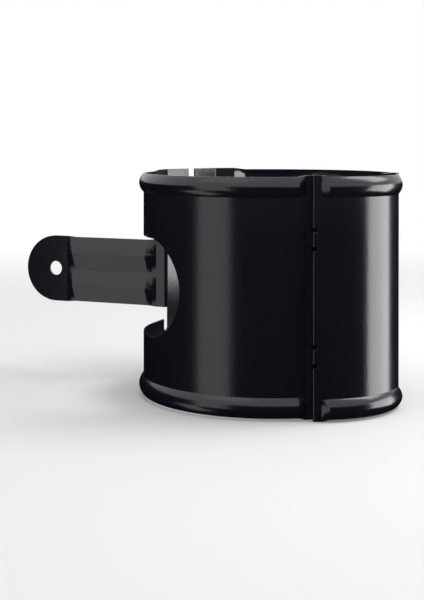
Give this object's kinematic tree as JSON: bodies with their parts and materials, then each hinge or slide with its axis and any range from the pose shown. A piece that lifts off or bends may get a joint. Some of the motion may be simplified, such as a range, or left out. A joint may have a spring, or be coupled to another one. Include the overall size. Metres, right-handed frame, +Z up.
{
  "type": "downpipe clip",
  "caption": "Beaded sheet-steel sleeve that holds a round downpipe, with a ribbed wall arm bent out of its side and a slide-on front cover that closes it.",
  "frame": {"origin": "on the pipe axis, at the lower edge of the sleeve", "axes": "+Z up along the pipe axis, -Y towards the front cover, +Y towards the wall"},
  "size_m": [0.0922, 0.152, 0.0792],
  "materials": {
    "black_coat": "gloss powder coat"
  },
  "bodies": {
    "clip": {"sleeve": "black_coat"},
    "cover": {"front_cover": "black_coat"}
  },
  "joints": [
    {"name": "cover_slide", "type": "slide", "parent": "clip", "child": "cover", "axis": [0, 0, 1], "range_m": [0, 0.055]}
  ]
}
